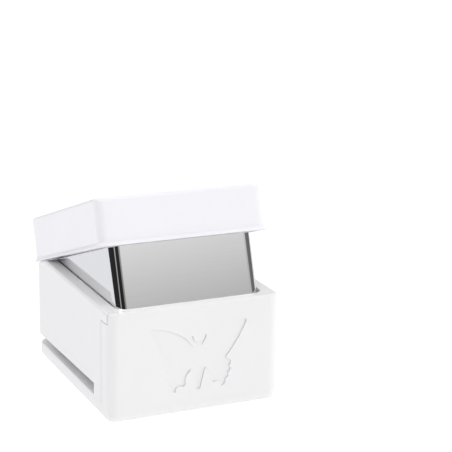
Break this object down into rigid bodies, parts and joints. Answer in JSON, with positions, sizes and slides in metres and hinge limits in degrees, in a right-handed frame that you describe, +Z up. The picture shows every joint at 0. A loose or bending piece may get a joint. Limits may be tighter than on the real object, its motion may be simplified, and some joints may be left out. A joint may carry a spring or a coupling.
{
  "type": "lever paper punch",
  "caption": "Palm-pressed craft paper punch: white box with a side and rear paper slot, chrome-banded rocking lid on a rear hinge, and a spring-returned butterfly blade over a die.",
  "frame": {"origin": "on the resting plane, under the middle of the whole object with its lid raised", "axes": "+X to the right as seen from the front panel, +Y from the front panel to the hinge and the open side of the paper slot, +Z up"},
  "size_m": [0.058, 0.0784, 0.0684],
  "materials": {
    "white_body": "white moulded plastic, semi-gloss",
    "white_lid": "white moulded plastic, semi-gloss",
    "chrome_band": "bright plated, faint horizontal grain",
    "steel": "stamped steel sheet",
    "ground_steel": "ground steel rod",
    "spring_steel": "drawn spring wire",
    "hardware": "zinc plated",
    "brass_bush": "turned brass",
    "pad": "dark wear-resistant plastic"
  },
  "bodies": {
    "box": {"base_plate": "white_body", "housing": "white_body", "die_plate": "steel", "spacer_bar": "steel", "guide_plate": "steel", "hinge_bracket": "steel", "hinge_pin": "ground_steel", "pin_clip_left": "hardware", "pin_clip_right": "hardware", "guide_pin_fl": "ground_steel", "guide_pin_fr": "ground_steel", "guide_pin_rl": "ground_steel", "guide_pin_rr": "ground_steel", "return_spring_fl": "spring_steel", "return_spring_fr": "spring_steel", "return_spring_rl": "spring_steel", "return_spring_rr": "spring_steel", "base_screw_left": "hardware", "base_screw_mid": "hardware", "base_screw_right": "hardware", "die_rivet_left": "hardware", "die_rivet_right": "hardware", "bracket_rivet_left": "hardware", "bracket_rivet_right": "hardware"},
    "lid": {"lid_cap": "white_lid", "lid_frame": "white_lid", "chrome_skirt": "chrome_band", "lever": "steel", "press_bar": "ground_steel", "lid_screw_fl": "hardware", "lid_screw_fr": "hardware", "lid_screw_rl": "hardware", "lid_screw_rr": "hardware"},
    "punch": {"punch_blade": "steel", "punch_holder": "steel", "wear_pad": "pad", "guide_bush_fl": "brass_bush", "guide_bush_fr": "brass_bush", "guide_bush_rl": "brass_bush", "guide_bush_rr": "brass_bush", "blade_screw_left": "hardware", "blade_screw_right": "hardware"}
  },
  "joints": [
    {"name": "lid_hinge", "type": "hinge", "parent": "box", "child": "lid", "pos_m": [0, 0.02034, 0.02204], "axis": [1, 0, 0], "range_deg": [0, 19], "stiffness_Nm_per_rad": 1.2, "springref_deg": -11.46},
    {"name": "punch_slide", "type": "slide", "parent": "box", "child": "punch", "axis": [0, 0, -1], "range_m": [0, 0.0061], "deforming": ["return_spring_fl", "return_spring_fr", "return_spring_rl", "return_spring_rr"]}
  ],
  "couplings": [
    {"joint": "punch_slide", "follows": "lid_hinge", "m_per_rad": 0.017918}
  ]
}
